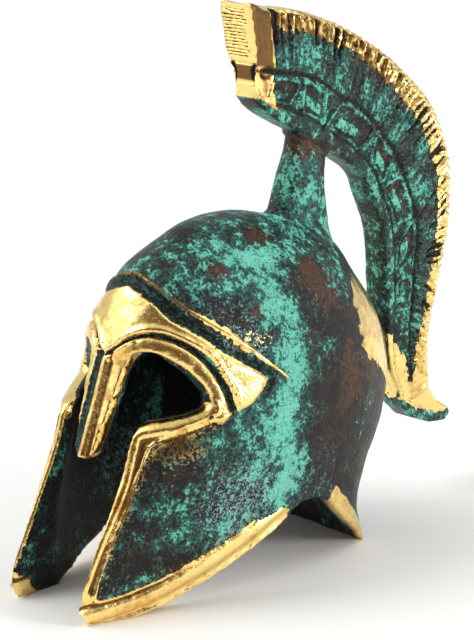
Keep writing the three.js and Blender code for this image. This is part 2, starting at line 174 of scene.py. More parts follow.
# %% Lines on the bowl
face_lines = {
    "hood": [[-12, 57.7], [0, 58.2], [10, 57.6], [19.5, 56.6], [28.7, 55.1], [37.7, 53.1], [45.4, 51.3],
             [55.2, 48.6], [61.3, 46.3], [70.2, 42.6], [77, 39.6]],
    "plate_rim": [[-6, 47.6], [0.2, 45.9], [5.6, 47.4], [11.9, 48.8], [19.7, 49.8], [26.7, 49.8],
                  [33.3, 49.0], [39.9, 47.8], [45.5, 46.3], [49.9, 44.6], [53.9, 41.7], [57.8, 38.9],
                  [61, 35.7]],
    "brow_groove": [[1, 44.9], [6, 46.6], [12.2, 48.1], [19.9, 49.0], [28.5, 48.8], [35.8, 47.8],
                    [43, 45.9], [48.5, 43.6], [53.3, 40.4], [57.2, 37.4], [59.2, 35.6]],
    "brow_band": [[4, 45.4], [12.5, 46.7], [20.6, 47.4], [29, 46.9], [36.6, 45.7], [43.9, 43.5],
                  [49.3, 41], [52.8, 38.4], [54.3, 36.6], [55, 35]],
    "nose_edge": [[2.4, 27.6], [5.6, 28.6], [6, 31], [7, 34], [8.2, 37], [9.4, 40], [11, 43], [13.6, 45.4]],
    "eye_rim": [[50.5, 36.6], [43.9, 35.6], [37.2, 34.8], [30.2, 34.5], [23.6, 34], [20, 33]],
    "cheek_rim": [[20, 33], [19.6, 31], [21.8, 23.5], [24.2, 17.4], [26, 12.4], [28.5, 7.6], [32, 2.4],
                  [34, 0]],
    "bottom_rim": [[34, 0], [39, 0.2], [46, 1.1], [52.5, 2.8], [59.5, 5], [67, 7.7], [75, 10.6],
                   [82.5, 13.2], [86.7, 14.1], [90.5, 14.1]],
    "cheek_ridge": [[58, 35.3], [50, 34.2], [43.4, 33.2], [36, 32.4], [31, 31.2], [28.8, 28.6],
                    [28.5, 24.3], [29.8, 19.3], [31.6, 13], [34, 7.3], [36.5, 4.5], [41.3, 4.6],
                    [46.4, 5.6], [52.5, 6.9], [59.4, 8.6], [67, 11], [74, 13.6]],
    "neck_rim": [[92, 13.8], [97, 11.4], [104, 7.4], [113, 3.6], [121, 0]],
}


def step_at(height):
    heights = between_rows(bowl_rows, np.linspace(0, 10, 2001))[:, 0] * BOWL_HEIGHT
    return np.interp(height, heights, np.linspace(0, 10, 2001))


def line_on_bowl(knots, spacing=0.4):
    knots = np.array(knots, float)
    steps = np.linspace(0, len(knots) - 1, 12 * len(knots))
    curve = between_rows(knots, steps)
    points = bowl_points(step_at(curve[:, 1]), np.radians(curve[:, 0]))
    lengths = np.concatenate([[0], np.cumsum(np.linalg.norm(np.diff(points, axis=0), axis=1))])
    places = np.arange(0, lengths[-1], spacing)
    return np.stack([np.interp(places, lengths, points[:, axis]) for axis in range(3)], axis=-1)


lines = {name: line_on_bowl(knots) for name, knots in face_lines.items()}
print("line lengths mm", {name: round(0.4 * len(line)) for name, line in lines.items()})


# %% Distance helpers
NOWHERE = -9.0


def distance_to(points, line):
    """Distance of each point to a line of close points."""
    tree = kdtree.KDTree(len(line))
    for number, place in enumerate(line):
        tree.insert(place, number)
    tree.balance()
    return np.array([tree.find(point)[2] for point in points])


def inside_outline(points, outline):
    """Whether each point's side view place is inside a side outline."""
    along, height = points[:, 1] - SHIFT, points[:, 2]
    inside = np.zeros(len(points), bool)
    for (y0, z0), (y1, z1) in zip(outline, outline[1:] + outline[:1]):
        crosses = (z0 > height) != (z1 > height)
        rise = np.where(crosses, (y1 - y0) * (height - z0) / ((z1 - z0) or 1e-9) + y0, np.inf)
        inside ^= crosses & (along < rise)
    return inside


def ramp(values, low, high):
    share = np.clip((values - low) / (high - low), 0, 1)
    return share * share * (3 - 2 * share)


def bump_of(distance, width):
    return np.exp(-(distance / width) ** 2)


plate_outline = [
    [-46, 56.8], [-32.6, 56.8], [-32.6, 54.9], [-31.8, 52.4], [-30, 50.5], [-27.9, 48.4], [-25.6, 45.9],
    [-22.9, 43.9], [-20, 41.9], [-18.1, 40.4], [-19.6, 38.3], [-21.9, 36.5], [-24.6, 35.6],
    [-25.3, 38.9], [-26.2, 41.7], [-27.2, 44.6], [-28.6, 46.2], [-30.4, 47.6], [-32.1, 48.8],
    [-33.7, 49.6], [-35.2, 49.5], [-36.6, 48.5], [-37.9, 47], [-38.5, 45.6], [-46, 45.6],
]
plate_top_knots = [
    [-9, 55.8], [0, 56.7], [9, 55.9], [17, 54.9], [23, 53.9], [29.2, 52.2], [38.2, 50.2], [45.4, 48.4],
    [52.4, 45.9], [59.2, 43.9], [65.6, 41.9], [69.8, 40.4], [68.5, 38.3], [65.7, 36.5], [61.5, 35.5],
]
plate_top_line = line_on_bowl(plate_top_knots)
print("plate line", len(plate_top_line), "points")

# %% [markdown]
# ## Helmet shell
# The shell is one casting with walls of three millimetres and rounded openings. A merged copy
# of the CAD solid is remeshed into an even skin and its edges are softened as a casting's are.
# The skin is refined where the carved lines run, and its outside is then laid on the exact bowl
# with the carved relief on top. The paint needs to know where the metal was polished and where
# dirt gathers, so the distances to those borders are kept as attributes, in millimetres.
# A distance stays exact between two points of the mesh, so a border painted from it is crisp.

# %% Skin of a casting
SKIN_OF_HELMET = 0.65 * MM
SKIN_OF_CREST = 0.42 * MM


def copy_of_node(name):
    made = bmesh.new()
    made.from_mesh(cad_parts[name].data)
    bmesh.ops.remove_doubles(made, verts=made.verts, dist=1e-7)
    return made


def even_skin(made, name, voxel, passes):
    """Remeshes a closed bmesh into an even skin and softens its edges."""
    mesh = bpy.data.meshes.new(name)
    made.to_mesh(mesh)
    made.free()
    source = bpy.data.objects.new(name, mesh)
    bpy.context.scene.collection.objects.link(source)
    remesh = source.modifiers.new("skin", "REMESH")
    remesh.mode = "VOXEL"
    remesh.voxel_size = voxel
    depsgraph = bpy.context.evaluated_depsgraph_get()
    skin = bpy.data.meshes.new_from_object(source.evaluated_get(depsgraph))
    bpy.data.objects.remove(source)
    soften(skin, passes)
    skin.name = name
    return skin


def soften(mesh, passes, wanted=None):
    soft = bmesh.new()
    soft.from_mesh(mesh)
    chosen = [vert for vert in soft.verts if wanted is None or wanted[vert.index]]
    for _ in range(passes):
        bmesh.ops.smooth_vert(soft, verts=chosen, factor=0.5,
                              use_axis_x=True, use_axis_y=True, use_axis_z=True)
    soft.to_mesh(mesh)
    soft.free()


def refine(mesh, wanted):
    """Halves every edge whose two ends are wanted."""
    finer = bmesh.new()
    finer.from_mesh(mesh)
    finer.verts.ensure_lookup_table()
    edges = [edge for edge in finer.edges if all(wanted[vert.index] for vert in edge.verts)]
    bmesh.ops.subdivide_edges(finer, edges=edges, cuts=1, use_grid_fill=True)
    finer.to_mesh(mesh)
    finer.free()


def places_of(mesh):
    flat = np.empty(len(mesh.vertices) * 3, np.float32)
    mesh.vertices.foreach_get("co", flat)
    return flat.reshape(-1, 3).astype(float) / MM


def facing_of(mesh):
    flat = np.empty(len(mesh.vertices) * 3, np.float32)
    mesh.vertex_normals.foreach_get("vector", flat)
    return flat.reshape(-1, 3).astype(float)


def put_places(mesh, places):
    mesh.vertices.foreach_set("co", (places * MM).astype(np.float32).ravel())
    mesh.update()


def keep_attribute(mesh, name, values):
    layer = mesh.attributes.new(name, "FLOAT", "POINT")
    layer.data.foreach_set("value", values.astype(np.float32))


def soft_noise(points, scale, seed):
    shift = Vector((seed * 7.3, seed * 3.1, seed * 5.7))
    return np.array([noise.noise(Vector(point) * scale + shift) for point in points])


def triangles_in(mesh):
    return sum(len(face.vertices) - 2 for face in mesh.polygons)


helmet_skin = even_skin(copy_of_node("helmet"), "helmet_shell", SKIN_OF_HELMET, 3)
print("helmet skin", len(helmet_skin.vertices), "points")

# %% Finer skin along the carved lines
coarse_places = places_of(helmet_skin)
coarse_away, _, _ = bowl_frame(coarse_places)
all_lines = np.concatenate(list(lines.values()) + [plate_top_line])
coarse_folded = np.column_stack([np.abs(coarse_places[:, 0]), coarse_places[:, 1:]])
near_a_line = distance_to(coarse_folded, all_lines) < 2.3
refine(helmet_skin, near_a_line & (coarse_away > -1.6))
print("refined skin", len(helmet_skin.vertices), "points,", triangles_in(helmet_skin), "triangles")

# %% Relief of the face
skin_places = places_of(helmet_skin)
away, normals, turn = bowl_frame(skin_places)
folded = np.column_stack([np.abs(skin_places[:, 0]), skin_places[:, 1:]])
on_bowl = skin_places - normals * away[:, None]
on_bowl[:, 0] = np.abs(on_bowl[:, 0])
to_line = {name: distance_to(on_bowl, line) for name, line in lines.items()}
to_plate_top = distance_to(on_bowl, plate_top_line)
in_plate = inside_outline(folded, plate_outline)
across, along, height = skin_places[:, 0], skin_places[:, 1] - SHIFT, skin_places[:, 2]
below_top = height < np.interp(turn, *np.array(plate_top_knots[1:9]).T)
in_plate = in_plate & (below_top | (turn > 45))


def bead(distance, width, rise):
    """A half-round moulding that starts at distance 0."""
    return rise * np.sqrt(np.clip(1 - (2 * distance / width - 1) ** 2, 0, 1))


# Depths such as hood_groove are positive inside a feature, negative outside and NOWHERE far off
wobble = 0.16 * soft_noise(skin_places, 0.45, 21)
plate_inside = np.minimum(to_plate_top, to_line["brow_groove"]) * np.where(in_plate, 1, -1)
groove_half = 0.95 - 0.55 * ramp(turn, 25, 55)
hood_groove = np.where(in_plate | (height < 38), NOWHERE,
                       groove_half + wobble - np.abs(to_plate_top - 0.9))
brow_groove = 0.38 + 0.12 * ramp(-height, -48, -40) + 0.5 * wobble - to_line["brow_groove"]
on_nose = ramp(height, 25.5, 27) * (1 - ramp(height, 45.0, 46.5)) * (folded[:, 0] < 6) * (along < -30)
nose_bar = 0.95 - np.abs(across - 0.25)
nose_gutter = np.where(on_nose > 0.5, np.minimum(0.90 - np.abs(across + 1.75), 45.4 - height), NOWHERE)
nose_line = np.where(on_nose > 0.5, 0.30 - np.abs(across - 1.55), NOWHERE)
rim_front = np.minimum(to_line["eye_rim"], to_line["cheek_rim"])
rim = np.minimum(rim_front, to_line["bottom_rim"])
front_width = (2.0 + 0.35 * ramp(height, 26, 33) * ramp(turn, 10, 30)
               - 0.6 * ramp(turn, 27, 45) * ramp(height, 30, 33))
to_brow = np.minimum(to_line["brow_band"], to_line["brow_groove"])
below_brow = ramp(to_brow, 2.0, 2.8)
channel = np.where(below_brow > 0.5, 0.65 - np.abs(rim_front - front_width - 0.60), NOWHERE)
channel = channel - 3 * ramp(-height, -6.5, -3.5)
bottom_width = 3.1 - 1.6 * ramp(turn, 70, 84)
bottom_channel = np.where(turn < 86, 0.45 - np.abs(to_line["bottom_rim"] - bottom_width - 0.45), NOWHERE)
beside_ridge = ramp(to_line["cheek_ridge"], 0.5, 1.4) * (1 - ramp(to_line["cheek_ridge"], 1.4, 4.0))
relief = (
    0.45 * ramp(plate_inside, -0.1, 0.7)
    + 0.50 * bump_of(to_line["hood"], 0.55)
    - 0.80 * ramp(hood_groove, -0.3, 0.6)
    + 0.35 * bump_of(to_line["plate_rim"] - 0.25, 0.40)
    - 0.70 * ramp(brow_groove, -0.25, 0.3)
    + bead(to_line["brow_band"] + 1.55, 3.1, 0.60)
    + 0.65 * ramp(nose_bar, -0.2, 0.7) * on_nose
    - 0.45 * ramp(nose_gutter, -0.3, 0.4) - 0.35 * ramp(nose_line, -0.2, 0.2)
    + bead(rim_front, front_width, 0.42) - 0.40 * ramp(0.7 - rim_front, 0, 0.7)
    - 0.38 * ramp(channel, -0.2, 0.5)
    + 0.40 * bump_of(to_line["cheek_ridge"], 0.38)
    - 0.25 * beside_ridge * (rim > 3)
    + bead(to_line["bottom_rim"], bottom_width, 0.45) * (1 - ramp(turn, 78, 86))
    - 0.55 * ramp(0.9 - np.minimum(to_line["bottom_rim"], to_line["neck_rim"]), 0, 0.9)
    - 0.22 * ramp(bottom_channel, -0.2, 0.4)
    + 0.30 * ramp(2.6 - to_line["neck_rim"], 0, 0.8)
    + 0.13 * soft_noise(skin_places, 0.22, 1) + 0.07 * soft_noise(skin_places, 0.7, 2)
)
outer = ramp(away, -0.55, -0.15)
put_places(helmet_skin, skin_places + normals * ((relief - away) * outer)[:, None])
rim_edge = np.minimum(rim, to_line["neck_rim"])
soften(helmet_skin, 26, (rim_edge < 1.0) & (away > -2.8) & (height > 1.6))
soften(helmet_skin, 1, (away > -0.6) & ((rim_edge < 3.5) | (plate_inside > -1) | (on_nose > 0.2)))
print("relief from", round(float(relief.min()), 2), "to", round(float(relief.max()), 2), "mm")

# %% [markdown]
# ## Where the metal shows and where the patina lies
# Every raised line was rubbed bright, and dirt stayed in the grooves. The turquoise crust is not
# even: a broad belt of it runs down each flank, the brow and the cheeks keep only flecks, and
# the back of the dome has gone red-brown. These zones are a few soft blobs and one soft belt.

# %% Polish of the shell
ragged = soft_noise(skin_places, 0.8, 3) + 0.5 * soft_noise(skin_places, 2.1, 4)


def blob(points, centre, radii):
    """One inside a soft ellipsoid, falling to nothing outside."""
    return np.exp(-np.sum(((points - centre) / radii) ** 2, axis=1))


back_edge = np.interp(height, [30, 34, 36.7, 38.1, 40.2, 42.3, 44.5, 47.0, 49.6, 51.5, 53.0],
                      [19.0, 15.5, 12.3, 9.4, 8.0, 7.8, 8.2, 8.9, 9.3, 11.5, 15.0])
worn_back = np.minimum.reduce([0.30 * (skin_places[:, 1] - back_edge) - 0.15, 0.6 * (52.5 - height),
                               0.4 * (height - 29.0), 0.4 * (25.5 - skin_places[:, 1])])
hood_width = 0.27 + 0.45 * bump_of(turn - 55, 11)
ridge = 0.36 + 0.10 * ragged - to_line["cheek_ridge"]
front_gold = front_width + 1.4 * ramp(-height, -7.5, -5.0) + 0.06 * ragged
polish = np.maximum.reduce([
    plate_inside - 0.02,
    1.55 + 0.08 * ragged - to_line["brow_band"],
    0.40 - to_line["plate_rim"],
    hood_width + (0.12 + 0.55 * bump_of(turn - 55, 11)) * ragged - to_line["hood"],
    np.where(on_nose > 0.5, np.maximum(nose_bar, np.maximum(across - 1.25, -2.75 - across)), NOWHERE),
    np.where(below_brow > 0.5, front_gold - rim_front, 1.2 - rim_front),
    channel + 0.1, ridge,
    bottom_width + 0.15 * ragged - to_line["bottom_rim"] - 4 * ramp(turn, 82, 88),
    bottom_channel + 0.1 + 0.2 * ragged - 2 * ramp(turn, 60, 75),
    4.3 + 0.4 * ragged - to_line["neck_rim"] - 5 * ramp(-turn, -102, -93),
    worn_back + 0.55 * ragged,
])
far_cheek = (ramp(-across, 3.0, 5.0) * ramp(-height, -33, -30) * ramp(turn, 14, 17)
             * (1 - ramp(turn, 44, 48)) * ramp(height, 3.5, 5.5))
polish -= far_cheek * np.clip(polish - (1.3 + 0.3 * ragged - rim_front), 0, 9)
polish = np.where(far_cheek > 0.5, np.minimum(polish, 0.5 + away), polish)
groove = np.minimum(np.maximum.reduce([hood_groove, brow_groove, nose_gutter]), 1.3 + away)
polish = np.minimum(polish, 1.6 + away)
polish = np.clip(np.minimum(polish, -groove + 0.10), -3, 3)
# Painted dark reflection: polished metal in the channels, along the nose line and beside the hood's front
# is tinted brown, as gold looks where it mirrors a dark room; raised ridges stay bright.
dark_reflection = np.maximum.reduce([
    ramp(channel, -0.15, 0.15), ramp(nose_line, -0.15, 0.10), ramp(bottom_channel, -0.2, 0.2),
    0.75 * ramp(hood_width + 1.2 - to_line["hood"], 0, 1) * (1 - ramp(turn, 35, 50))])
dark_reflection = np.where(ridge > 0, 0, dark_reflection)
keep_attribute(helmet_skin, "polish", polish)
keep_attribute(helmet_skin, "groove", np.clip(groove, -3, 3))
keep_attribute(helmet_skin, "dark_reflection", np.clip(dark_reflection, 0, 1))
print("polished share", round(float((polish > 0).mean()), 3))

# %% Patina zones of the shell
belt_line = np.array([[10.8, -13.2, 59.8], [12.8, -12.2, 57.8], [15.1, -11.9, 54.4], [17.6, -11.2, 49.2],
                      [19.4, -10.9, 44.6], [20.5, -11.5, 40.0], [21.0, -13.6, 35.8], [20.9, -14.6, 31.3],
                      [20.8, -14.4, 27.1], [20.6, -13.8, 23.2], [20.0, -14.6, 18.7]])
belt_line = between_rows(belt_line, np.linspace(0, len(belt_line) - 1, 80))
belt_places = folded + (across < 0)[:, None] * [0, -4.0, 3.0]
belt_width = np.maximum(3.6 + 3.0 * soft_noise(skin_places, 0.16, 11), 1.6)
belt = np.exp(-(distance_to(belt_places, belt_line) / belt_width) ** 2)
behind_belt = (ramp(folded[:, 1] + 2.5 * soft_noise(skin_places, 0.3, 31), -9.4, -6.6)
               * ramp(height, 12, 18) * (1 - ramp(height, 35, 40)))
crust = (
    0.27 + 0.45 * belt
    + 0.20 * blob(folded, [19.3, -22.5, 33.0], [4, 5, 3])
    + 0.22 * blob(folded, [20.0, -20.5, 24.0], [4, 6.5, 5])
    - 0.17 * behind_belt
    + 0.12 * blob(folded, [18.5, -26.0, 16.0], [6, 9, 7])
    + 0.16 * blob(skin_places, [10.0, -17.0, 59.5], [9, 8, 6])
    + 0.20 * blob(skin_places, [0.0, 2.0, 64.0], [14, 12, 6])
    + 0.12 * blob(skin_places, [-9.0, -22.0, 58.0], [9, 7, 6])
    - 0.10 * blob(folded, [19.5, 2.0, 35.0], [6, 5, 16])
    + 0.22 * soft_noise(skin_places, 0.16, 12)
    - 0.10 * ramp(-away, 1.6, 2.8)
)
rust = (
    blob(folded, [10.3, -20.3, 58.5], [3.5, 3, 2.5]) + blob(folded, [8.2, -9.3, 62.4], [4.5, 3.5, 2.5])
    + blob(folded, [14.0, -1.3, 56.8], [3.5, 3.5, 4]) + blob(folded, [16.6, 1.9, 51.2], [4.5, 4.5, 4])
    + 0.9 * blob(folded, [15.7, -16.2, 51.7], [3, 3, 2.5]) + blob(folded, [20.6, 3.0, 37.0], [4, 4.2, 7.5])
    + 0.9 * blob(folded, [17.5, 11.5, 38.0], [4, 3.5, 7])
    + 0.7 * blob(skin_places, [-3.0, 22.0, 36.0], [9, 6, 10]))
rust = np.clip(0.9 * rust + 0.30 * soft_noise(skin_places, 0.2, 14), 0, 1)
grainy = np.clip(
    blob(folded, [15.5, -35.0, 29.8], [5.0, 6.5, 3.2])
    + 0.8 * blob(folded, [17.0, -20.5, 47.0], [4, 5.5, 2.4])
    + 0.50 * ramp(2.4 - to_line["cheek_ridge"], 0, 1.2) * ramp(away, -1.2, -0.4)
    + 0.60 * ramp(0.9 - to_line["hood"], 0, 0.9), 0, 1)
# Painted highlights: zones where pale specks are painted to stand in for sparkles of light on the glossy
# coat.
sparkle_zone = np.clip(
    blob(folded, [19.0, -23.5, 18.0], [5, 9, 7]) + 0.28 * blob(folded, [12, -22, 52], [9, 9, 9])
    + 0.22 * blob(folded, [20.5, -4, 22], [5, 8, 9])
    + 0.6 * blob(folded, [17.5, -21.0, 46.5], [4, 5, 3]), 0, 1)
keep_attribute(helmet_skin, "crust", np.clip(crust, 0, 1))
keep_attribute(helmet_skin, "rust", rust)
keep_attribute(helmet_skin, "grainy", grainy)
keep_attribute(helmet_skin, "sparkle_zone", sparkle_zone)
# Painted shade inside the shell: darker deeper in and higher up the dome, lighter near the face openings;
# the shader darkens the coat there towards near-black.
near_front = ramp(5.0 - rim_front + away, 0, 3)
interior_shade = ramp(-away, 1.2, 2.6) * (0.55 + 0.45 * ramp(height, 24, 34)) * (1 - 0.6 * near_front)
keep_attribute(helmet_skin, "interior_shade", interior_shade)
print("mean crust", round(float(crust.mean()), 2), "rust", round(float(rust.mean()), 2))

# %% Put the shell in place
def piece_from(mesh, name, node):
    mesh.shade_smooth()
    piece = bpy.data.objects.new(name, mesh)
    bpy.context.scene.collection.objects.link(piece)
    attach(piece, "root")
    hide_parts(node)
    return piece


helmet = piece_from(helmet_skin, "helmet_shell", "helmet")
print("helmet faces", len(helmet_skin.polygons))

# %% [markdown]
# ## Crest
# The crest is a second casting: a fluted plume with a toothed rim, a holder with raised panels,
# a smooth rail, and the stilt that carries it. It is refined like the shell. Two more attributes
# say where each spot lies along the crest and across the plume, so that its patina can follow
# the carved strands.

# %% Crest curves
CREST_TOP = 104.3
CREST_REACH = 60.0
rim_knots = [
    [-0.112, 0.998], [-0.043, 0.991], [0.083, 0.982], [0.200, 0.965], [0.358, 0.931], [0.522, 0.882],
    [0.650, 0.831], [0.765, 0.774], [0.827, 0.720], [0.863, 0.672], [0.878, 0.608], [0.875, 0.522],
    [0.842, 0.448], [0.805, 0.374], [0.783, 0.330], [0.775, 0.268], [0.783, 0.206],
]
groove_knots = [
    [-0.073, 0.877], [0.053, 0.864], [0.147, 0.854], [0.227, 0.837], [0.308, 0.808], [0.392, 0.786],
    [0.443, 0.763], [0.485, 0.741], [0.547, 0.703], [0.592, 0.673], [0.618, 0.643], [0.655, 0.607],
    [0.685, 0.564], [0.703, 0.530], [0.702, 0.494], [0.695, 0.471], [0.682, 0.384], [0.672, 0.307],
    [0.673, 0.240], [0.688, 0.187],
]
inner_knots = [
    [-0.062, 0.826], [-0.020, 0.802], [0.063, 0.775], [0.167, 0.746], [0.332, 0.689], [0.435, 0.650],
    [0.473, 0.606], [0.512, 0.562], [0.527, 0.539], [0.543, 0.489], [0.547, 0.447], [0.557, 0.391],
    [0.562, 0.326], [0.582, 0.259], [0.637, 0.197],
]


def even_side_curve(knots, count):
    curve = between_rows(np.array(knots), np.linspace(0, len(knots) - 1, 40 * len(knots)))
    points = curve * [CREST_REACH, CREST_TOP] + [SHIFT, 0]
    lengths = np.concatenate([[0], np.cumsum(np.linalg.norm(np.diff(points, axis=0), axis=1))])
    places = np.linspace(0, lengths[-1], count)
    return np.stack([np.interp(places, lengths, points[:, axis]) for axis in range(2)], axis=-1)


CURVE_STEPS = 480
rim_curve = even_side_curve(rim_knots, CURVE_STEPS)
groove_curve = even_side_curve(groove_knots, CURVE_STEPS)
inner_curve = even_side_curve(inner_knots, CURVE_STEPS)
share_steps = np.linspace(0, 1, 41)
plume_grid = groove_curve[:, None] + (rim_curve - groove_curve)[:, None] * share_steps[None, :, None]
holder_grid = groove_curve[:, None] + (inner_curve - groove_curve)[:, None] * share_steps[None, :, None]
print("crest curves", plume_grid.shape)


# %% Where a crest point lies
def length_along(curve):
    return np.concatenate([[0], np.cumsum(np.linalg.norm(np.diff(curve, axis=0), axis=1))])


def crest_tree(grid):
    tree = kdtree.KDTree(grid.shape[0] * grid.shape[1])
    for number, (y, z) in enumerate(grid.reshape(-1, 2)):
        tree.insert((0, y, z), number)
    tree.balance()
    return tree


def crest_frame(tree, points):
    """Which step along the crest, which share across it, and how far off, for each point."""
    found = [tree.find((0, y, z)) for _, y, z in points]
    numbers = np.array([item[1] for item in found])
    off = np.array([item[2] for item in found])
    return numbers // len(share_steps), share_steps[numbers % len(share_steps)], off


plume_tree = crest_tree(plume_grid)
holder_tree = crest_tree(holder_grid)
rim_length = length_along(rim_curve)
plume_widths = np.linalg.norm(rim_curve - groove_curve, axis=1)
holder_length = length_along(holder_grid[:, 14])
holder_widths = np.linalg.norm(inner_curve - groove_curve, axis=1)
print("rim", round(float(rim_length[-1]), 1), "mm, holder", round(float(holder_length[-1]), 1), "mm")

# %% Crest skin with a fused foot
crest_solid = copy_of_node("crest")
FOOT_PLACE = Vector((0, (10.3 + SHIFT) * MM, 60.6 * MM))
FOOT_TILT = math.radians(-24)
foot_turn = Matrix.Translation(FOOT_PLACE) @ Matrix.Rotation(FOOT_TILT, 4, "X")
foot_shape = foot_turn @ Matrix.Diagonal((0.62, 1.0, 1.0, 1.0))
bmesh.ops.create_cone(crest_solid, cap_ends=True, segments=48, radius1=9.6 * MM, radius2=7.0 * MM,
                      depth=2.4 * MM, matrix=foot_shape)
crest_skin = even_skin(crest_solid, "crest_casting", SKIN_OF_CREST, 2)
print("crest skin", len(crest_skin.vertices), "points")

# %% Finer skin on the panels and the end face
FRONT_OF_CREST = crest_box[0][1] / MM
coarse_crest = places_of(crest_skin)
_, coarse_reach, coarse_off = crest_frame(holder_tree, coarse_crest)
on_panels = ((coarse_off < 0.5) & (coarse_reach > 0.08) & (coarse_reach < 0.66)
             & (np.abs(coarse_crest[:, 0]) > 1.9))
on_end = (coarse_crest[:, 1] < FRONT_OF_CREST + 3.6) & (coarse_crest[:, 2] > 85)
refine(crest_skin, on_panels | on_end)
fine_crest = places_of(crest_skin)
refine(crest_skin, (fine_crest[:, 1] < FRONT_OF_CREST + 3.2) & (fine_crest[:, 2] > 86)
       & (facing_of(crest_skin)[:, 1] < -0.6))
print("refined crest", len(crest_skin.vertices), "points,", triangles_in(crest_skin), "triangles")

# %% Which part of the crest each point is on
TEETH = 60
crest_places = places_of(crest_skin)
crest_facing = facing_of(crest_skin)
plume_step, reach, off_plume = crest_frame(plume_tree, crest_places)
holder_step, holder_reach, off_holder = crest_frame(holder_tree, crest_places)
on_plume = (off_plume < 0.6) & (off_plume <= off_holder + 0.05)
on_holder = (off_holder < 0.6) & ~on_plume
side = np.sign(crest_places[:, 0])
flank = ramp(np.abs(crest_facing[:, 0]), 0.35, 0.75)
end_face = ramp(-crest_facing[:, 1], 0.55, 0.85) * (crest_places[:, 2] > 85.5) * (
    crest_places[:, 1] < FRONT_OF_CREST + 4)
strand_mm = rim_length[plume_step]
inward_mm = (1 - reach) * plume_widths[plume_step]
outward_mm = reach * plume_widths[plume_step]
run_mm = holder_length[holder_step]
cross_mm = holder_reach * holder_widths[holder_step]
print("plume points", int(on_plume.sum()), "holder points", int(on_holder.sum()))

# %% Locks of the plume
spacing = rim_length[-1] / TEETH
rim_share = strand_mm / rim_length[-1]
slant = np.interp(rim_share, [0.30, 0.45, 0.55, 0.62, 0.68, 0.74, 0.82, 0.93, 1],
                  [0, 0.3, 0.35, 0.05, 0.25, 0.7, 1.0, 1.1, 0])
far_side = ramp(rim_share, 0.30, 0.50)
lock_mm = strand_mm + slant * inward_mm
tooth = lock_mm / spacing
jitter = 0.30 * soft_noise(np.stack([tooth * 0.5, inward_mm * 0.25, side], axis=-1), 1.0, 5)
phase = (tooth + jitter) % 1 - 0.5
wave = 0.5 + 0.5 * np.cos(2 * math.pi * phase)
lock_number = np.floor(tooth + jitter)
strength_noise = soft_noise(np.stack([lock_number * 3.7, side * 2, side], axis=-1), 1.0, 15)
lock_strength = np.clip(0.55 + 1.5 * strength_noise, 0.15, 1.3)
length_noise = soft_noise(np.stack([lock_number * 2.3, side * 5, side], axis=-1), 1.0, 22)
lock_length = 4.4 + 3.2 * far_side + 4.0 * length_noise
PANEL_END, GAP_HALF = 6.2, 0.85
fluted = ramp(strand_mm, PANEL_END, PANEL_END + 1)
gap_width = 0.35 + 0.75 * ramp(reach, 0.35, 0.8) + 0.25 * soft_noise(crest_places, 0.5, 16)
first_gap = np.where((reach > 0.10) & (inward_mm > 0.35),
                     gap_width - np.abs(strand_mm - PANEL_END - GAP_HALF), -3)
slot_half = (0.60 + 0.10 * far_side) * lock_strength * (1 - 0.35 * ramp(inward_mm, 2.5, lock_length))
slot = np.minimum.reduce([
    slot_half - np.abs(phase) * spacing,
    0.8 * (inward_mm - 0.9 - 1.0 * far_side - 0.5 * (lock_strength < 0.7)),
    0.5 * (lock_length - inward_mm)])
slot = np.where(on_plume & (strand_mm > PANEL_END + 1.4) & (rim_share < 0.93), slot, NOWHERE)
strands = soft_noise(np.stack([tooth * 1.9, outward_mm * 0.10, side * 3], axis=-1), 1.0, 6)
fine_strands = soft_noise(np.stack([tooth * 4.1, outward_mm * 0.16, side * 3], axis=-1), 1.0, 26)
carve = (
    -0.42 * wave ** 2 * lock_strength * fluted * ramp(reach, 0.05, 0.3) * ramp(inward_mm, 0.6, 2.0)
    - 0.75 * ramp(slot, -0.35, 0.35)
    - 1.00 * ramp(first_gap, -0.3, 0.5)
    + (0.42 * strands + 0.22 * fine_strands) * fluted * ramp(inward_mm, 0.8, 2.5)
    - 0.55 * bump_of(outward_mm - 0.3, 0.7)
    - 0.22 * (bump_of(strand_mm - 1.9, 0.45) + bump_of(strand_mm - 3.9, 0.35)) * ramp(reach, 0.1, 0.35)
    * (1 - ramp(reach, 0.55, 0.8))
)

# %% Panels and rail of the holder
PANEL_MIDDLE = 0.36
panel_ends = [
    [0.050, 0.122], [0.142, 0.222], [0.245, 0.375], [0.395, 0.475], [0.495, 0.600], [0.620, 0.700],
    [0.722, 0.800],
]


def rounded_box(u, v, half_u, half_v, radius):
    """How deep a point is inside a rounded rectangle, negative outside."""
    over_u, over_v = np.abs(u) - half_u + radius, np.abs(v) - half_v + radius
    return radius - np.hypot(np.maximum(over_u, 0), np.maximum(over_v, 0)) - np.minimum(
        np.maximum(over_u, over_v), 0)


panel_inside = np.full(len(crest_places), NOWHERE)
panel_bar = np.full(len(crest_places), NOWHERE)
warp_run = 0.55 * soft_noise(crest_places, 0.28, 23)
warp_cross = 0.45 * soft_noise(crest_places, 0.30, 24)
for number, shares in enumerate(panel_ends):
    ends = np.interp(shares, np.linspace(0, 1, CURVE_STEPS), holder_length)
    middle, half_run = ends.mean(), (ends[1] - ends[0]) / 2
    half_cross = 0.31 * np.interp(middle, holder_length, holder_widths)
    lean = 0.35 * (-1) ** number * (cross_mm - PANEL_MIDDLE * holder_widths[holder_step])
    u = run_mm - middle + warp_run + lean
    v = cross_mm - PANEL_MIDDLE * holder_widths[holder_step] + warp_cross
    panel_inside = np.maximum(panel_inside, rounded_box(u, v, half_run, half_cross, 1.3))
    bar = rounded_box(u + 0.3, v - 0.25 * half_cross, 0.55 * half_run, 0.34 * half_cross, 0.5)
    panel_bar = np.maximum(panel_bar, bar)
panel_frame = 0.36 - np.abs(panel_inside - 0.36)
rail_turn = np.clip((holder_reach - 0.85) / 0.17, -1, 1)
rail_half = 2.25 + 0.75 * np.sqrt(1 - 0.97 * rail_turn ** 2)
rail_gap = 0.40 - np.abs(cross_mm + warp_cross * 0.5 - 0.675 * holder_widths[holder_step])
